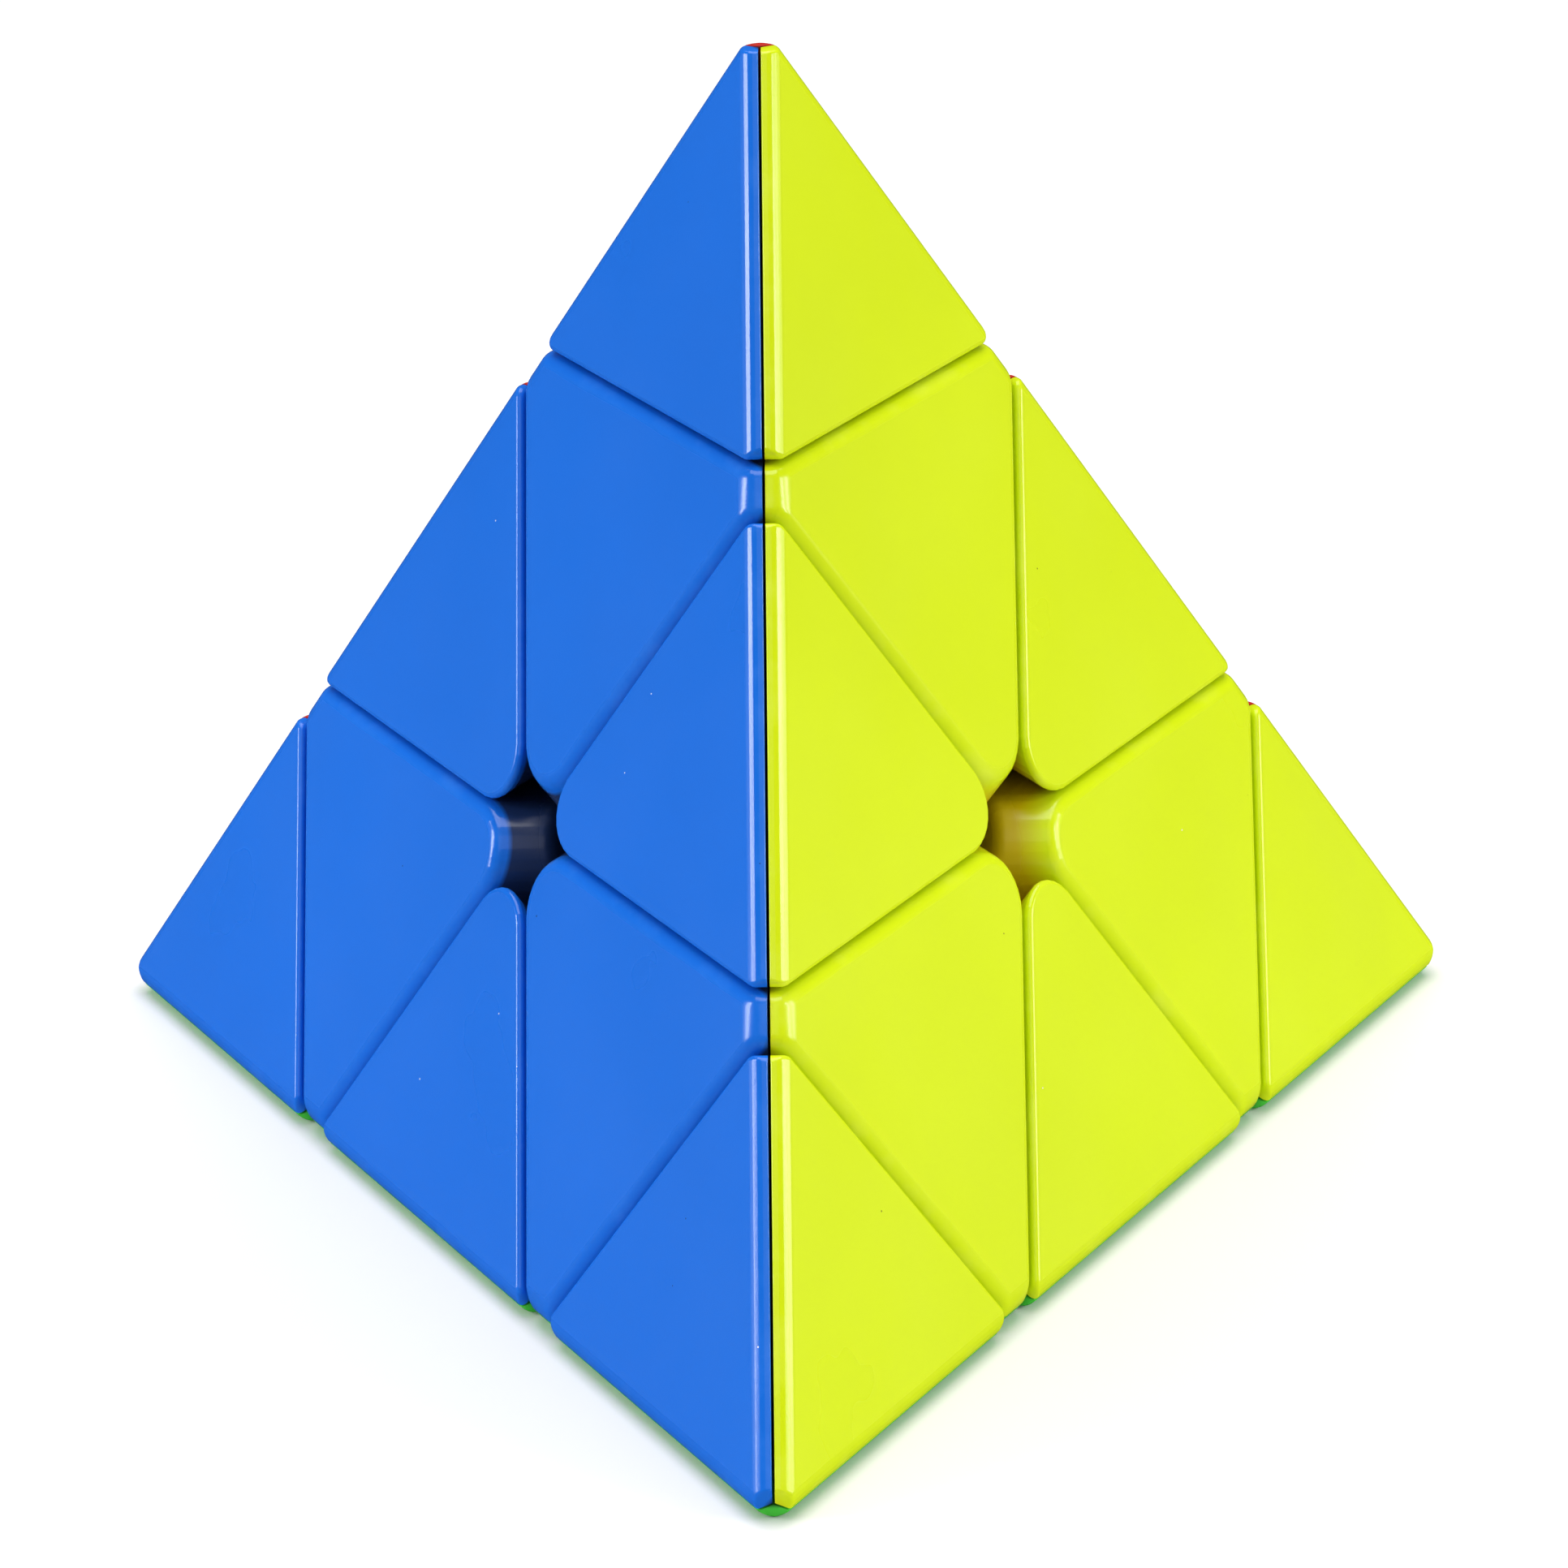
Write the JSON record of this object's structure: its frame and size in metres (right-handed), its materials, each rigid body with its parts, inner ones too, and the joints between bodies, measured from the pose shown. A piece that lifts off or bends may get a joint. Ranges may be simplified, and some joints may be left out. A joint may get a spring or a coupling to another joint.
{
  "type": "pyramid twisty puzzle",
  "caption": "Pyramid-shaped twisty puzzle in coloured plastic: corner layers and tips turn about axes through the corners, held by a sprung core.",
  "frame": {"origin": "centre of the core, where the four corner axes meet", "axes": "+Z along the upper corner's axis, -Y towards the front corner, +X to the right; the puzzle stands on its green face"},
  "size_m": [0.0934, 0.0812, 0.0763],
  "materials": {
    "blue_shell": "satin moulded plastic, glossier on the rounded rims",
    "yellow_shell": "satin fluorescent yellow moulded plastic",
    "green_shell": "satin moulded plastic",
    "red_shell": "satin moulded plastic",
    "inner_plastic": "dark moulded plastic, slightly lubricated",
    "steel": "plain steel screws and springs"
  },
  "bodies": {
    "core": {"core": "inner_plastic", "screw_top": "steel", "screw_front": "steel", "screw_right": "steel", "screw_left": "steel", "spring_top": "steel", "spring_front": "steel", "spring_right": "steel", "spring_left": "steel"},
    "axial_top": {"axial_top_body": "inner_plastic", "axial_top_shell_red": "red_shell", "axial_top_shell_blue": "blue_shell", "axial_top_shell_yellow": "yellow_shell"},
    "tip_top": {"tip_top_body": "inner_plastic", "tip_top_shell_red": "red_shell", "tip_top_shell_blue": "blue_shell", "tip_top_shell_yellow": "yellow_shell"},
    "axial_front": {"axial_front_body": "inner_plastic", "axial_front_shell_green": "green_shell", "axial_front_shell_blue": "blue_shell", "axial_front_shell_yellow": "yellow_shell"},
    "tip_front": {"tip_front_body": "inner_plastic", "tip_front_shell_green": "green_shell", "tip_front_shell_blue": "blue_shell", "tip_front_shell_yellow": "yellow_shell"},
    "axial_right": {"axial_right_body": "inner_plastic", "axial_right_shell_green": "green_shell", "axial_right_shell_red": "red_shell", "axial_right_shell_yellow": "yellow_shell"},
    "tip_right": {"tip_right_body": "inner_plastic", "tip_right_shell_green": "green_shell", "tip_right_shell_red": "red_shell", "tip_right_shell_yellow": "yellow_shell"},
    "axial_left": {"axial_left_body": "inner_plastic", "axial_left_shell_green": "green_shell", "axial_left_shell_red": "red_shell", "axial_left_shell_blue": "blue_shell"},
    "tip_left": {"tip_left_body": "inner_plastic", "tip_left_shell_green": "green_shell", "tip_left_shell_red": "red_shell", "tip_left_shell_blue": "blue_shell"},
    "edge_top_front": {"edge_top_front_body": "inner_plastic", "edge_top_front_shell_blue": "blue_shell", "edge_top_front_shell_yellow": "yellow_shell"},
    "edge_top_right": {"edge_top_right_body": "inner_plastic", "edge_top_right_shell_red": "red_shell", "edge_top_right_shell_yellow": "yellow_shell"},
    "edge_top_left": {"edge_top_left_body": "inner_plastic", "edge_top_left_shell_red": "red_shell", "edge_top_left_shell_blue": "blue_shell"},
    "edge_front_right": {"edge_front_right_body": "inner_plastic", "edge_front_right_shell_green": "green_shell", "edge_front_right_shell_yellow": "yellow_shell"},
    "edge_front_left": {"edge_front_left_body": "inner_plastic", "edge_front_left_shell_green": "green_shell", "edge_front_left_shell_blue": "blue_shell"},
    "edge_right_left": {"edge_right_left_body": "inner_plastic", "edge_right_left_shell_green": "green_shell", "edge_right_left_shell_red": "red_shell"}
  },
  "joints": [
    {"name": "layer_top", "type": "hinge", "parent": "core", "child": "axial_top", "pos_m": [0, 0, 0], "axis": [0, 0, 1], "range_deg": [-120, 240]},
    {"name": "layer_front", "type": "hinge", "parent": "core", "child": "axial_front", "pos_m": [0, 0, 0], "axis": [0, -0.9428, -0.3333], "range_deg": [-120, 240]},
    {"name": "layer_right", "type": "hinge", "parent": "core", "child": "axial_right", "pos_m": [0, 0, 0], "axis": [0.8165, 0.4714, -0.3333], "range_deg": [-120, 240]},
    {"name": "layer_left", "type": "hinge", "parent": "core", "child": "axial_left", "pos_m": [0, 0, 0], "axis": [-0.8165, 0.4714, -0.3333], "range_deg": [-120, 240]},
    {"name": "tip_top", "type": "hinge", "parent": "axial_top", "child": "tip_top", "pos_m": [0, 0, 0], "axis": [0, 0, 1], "continuous": true},
    {"name": "tip_front", "type": "hinge", "parent": "axial_front", "child": "tip_front", "pos_m": [0, 0, 0], "axis": [0, -0.9428, -0.3333], "continuous": true},
    {"name": "tip_right", "type": "hinge", "parent": "axial_right", "child": "tip_right", "pos_m": [0, 0, 0], "axis": [0.8165, 0.4714, -0.3333], "continuous": true},
    {"name": "tip_left", "type": "hinge", "parent": "axial_left", "child": "tip_left", "pos_m": [0, 0, 0], "axis": [-0.8165, 0.4714, -0.3333], "continuous": true},
    {"name": "edge_top_left", "type": "hinge", "parent": "axial_top", "child": "edge_top_left", "pos_m": [0, 0, 0], "axis": [-0.8165, 0.4714, -0.3333], "range_deg": [-120, 240]},
    {"name": "edge_top_front", "type": "hinge", "parent": "axial_top", "child": "edge_top_front", "pos_m": [0, 0, 0], "axis": [0, -0.9428, -0.3333], "range_deg": [-120, 240]},
    {"name": "edge_top_right", "type": "hinge", "parent": "axial_top", "child": "edge_top_right", "pos_m": [0, 0, 0], "axis": [0.8165, 0.4714, -0.3333], "range_deg": [-120, 240]},
    {"name": "edge_front_left", "type": "hinge", "parent": "axial_front", "child": "edge_front_left", "pos_m": [0, 0, 0], "axis": [-0.8165, 0.4714, -0.3333], "range_deg": [-120, 240]},
    {"name": "edge_right_left", "type": "hinge", "parent": "axial_left", "child": "edge_right_left", "pos_m": [0, 0, 0], "axis": [0.8165, 0.4714, -0.3333], "range_deg": [-120, 240]},
    {"name": "edge_front_right", "type": "hinge", "parent": "axial_right", "child": "edge_front_right", "pos_m": [0, 0, 0], "axis": [0, -0.9428, -0.3333], "range_deg": [-120, 240]}
  ],
  "couplings": [
    {"joint": "edge_top_left", "follows": "layer_left", "ratio": 1},
    {"joint": "edge_top_front", "follows": "layer_front", "ratio": 1},
    {"joint": "edge_top_right", "follows": "layer_right", "ratio": 1},
    {"joint": "edge_front_left", "follows": "layer_left", "ratio": 1},
    {"joint": "edge_right_left", "follows": "layer_right", "ratio": 1},
    {"joint": "edge_front_right", "follows": "layer_front", "ratio": 1}
  ]
}
